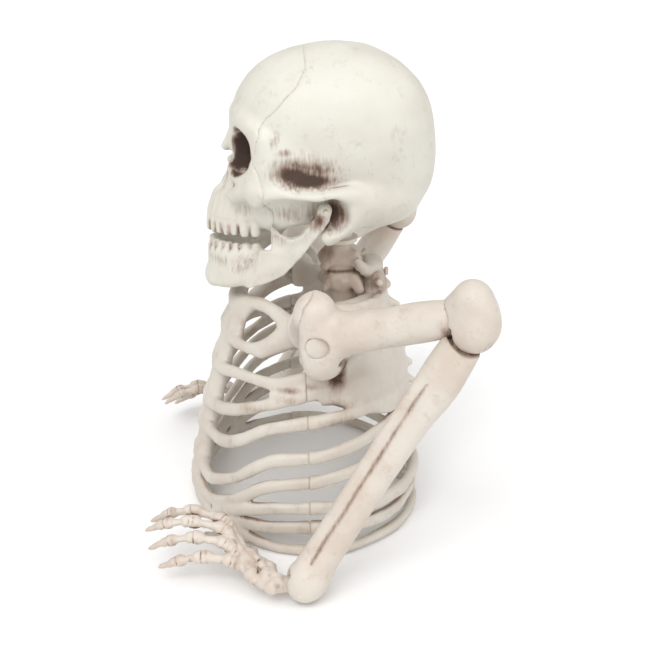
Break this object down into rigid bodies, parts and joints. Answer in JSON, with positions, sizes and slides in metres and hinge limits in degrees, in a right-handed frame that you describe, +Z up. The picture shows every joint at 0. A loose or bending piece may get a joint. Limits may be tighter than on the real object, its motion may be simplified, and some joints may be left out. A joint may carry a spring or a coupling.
{
  "type": "posable skeleton half figure",
  "caption": "Half-figure skeleton decoration with a turning skull, hinged jaw, open rib cage and two arms jointed at shoulder, elbow and wrist.",
  "frame": {"origin": "centre of the footprint box, on the surface the lowest rib stands on", "axes": "+Z up, the figure faces -Y, its left side is +X"},
  "size_m": [0.34, 0.244, 0.36],
  "materials": {
    "torso_plastic": "satin moulded bone colour with brown wash",
    "skull_plastic": "satin moulded bone colour with brown wash",
    "limb_plastic": "satin moulded bone colour with brown wash",
    "hand_plastic": "satin moulded bone colour with dark washed joints",
    "neck_plastic": "satin moulded bone colour with brown wash",
    "pin_plastic": "plain moulded",
    "screw_steel": "plated"
  },
  "bodies": {
    "torso": {"ribcage_front": "torso_plastic", "ribcage_back": "torso_plastic", "ribcage_screws": "screw_steel", "neck_column": "neck_plastic", "neck_screws": "screw_steel", "neck_washer": "screw_steel", "neck_post_screw": "screw_steel", "shoulder_cup_left": "torso_plastic", "shoulder_cup_right": "torso_plastic", "shoulder_pin_left": "limb_plastic", "shoulder_pin_right": "limb_plastic"},
    "skull": {"skull_face": "skull_plastic", "skull_cranium": "skull_plastic", "skull_screws": "screw_steel", "neck_bush": "pin_plastic", "jaw_pin_left": "pin_plastic", "jaw_pin_right": "pin_plastic"},
    "jaw": {"jaw": "skull_plastic"},
    "upper_arm_left": {"humerus_left": "limb_plastic", "elbow_knuckle_left": "limb_plastic", "elbow_pin_left": "pin_plastic"},
    "forearm_left": {"forearm_left": "limb_plastic", "wrist_pin_left": "pin_plastic"},
    "hand_left": {"hand_left": "hand_plastic"},
    "upper_arm_right": {"humerus_right": "limb_plastic", "elbow_knuckle_right": "limb_plastic", "elbow_pin_right": "pin_plastic"},
    "forearm_right": {"forearm_right": "limb_plastic", "wrist_pin_right": "pin_plastic"},
    "hand_right": {"hand_right": "hand_plastic"}
  },
  "joints": [
    {"name": "head_turn", "type": "hinge", "parent": "torso", "child": "skull", "pos_m": [0, 0.032, 0.2126], "axis": [0, 0, 1], "range_deg": [-25, 25]},
    {"name": "jaw_open", "type": "hinge", "parent": "skull", "child": "jaw", "pos_m": [0, 0.016, 0.25], "axis": [1, 0, 0], "range_deg": [-3.5, 5]},
    {"name": "shoulder_left", "type": "hinge", "parent": "torso", "child": "upper_arm_left", "pos_m": [0.094, 0.005, 0.171], "axis": [1, 0, 0], "range_deg": [-75, 6]},
    {"name": "elbow_left", "type": "hinge", "parent": "upper_arm_left", "child": "forearm_left", "pos_m": [0.139, 0.103, 0.197], "axis": [1, 0, 0], "range_deg": [0, 80]},
    {"name": "wrist_left", "type": "hinge", "parent": "forearm_left", "child": "hand_left", "pos_m": [0.155, -0.012, 0.014], "axis": [1, 0, 0], "range_deg": [-30, 15]},
    {"name": "shoulder_right", "type": "hinge", "parent": "torso", "child": "upper_arm_right", "pos_m": [-0.094, 0.005, 0.171], "axis": [1, 0, 0], "range_deg": [-75, 6]},
    {"name": "elbow_right", "type": "hinge", "parent": "upper_arm_right", "child": "forearm_right", "pos_m": [-0.139, 0.103, 0.197], "axis": [1, 0, 0], "range_deg": [0, 80]},
    {"name": "wrist_right", "type": "hinge", "parent": "forearm_right", "child": "hand_right", "pos_m": [-0.155, -0.012, 0.014], "axis": [1, 0, 0], "range_deg": [-30, 15]}
  ]
}
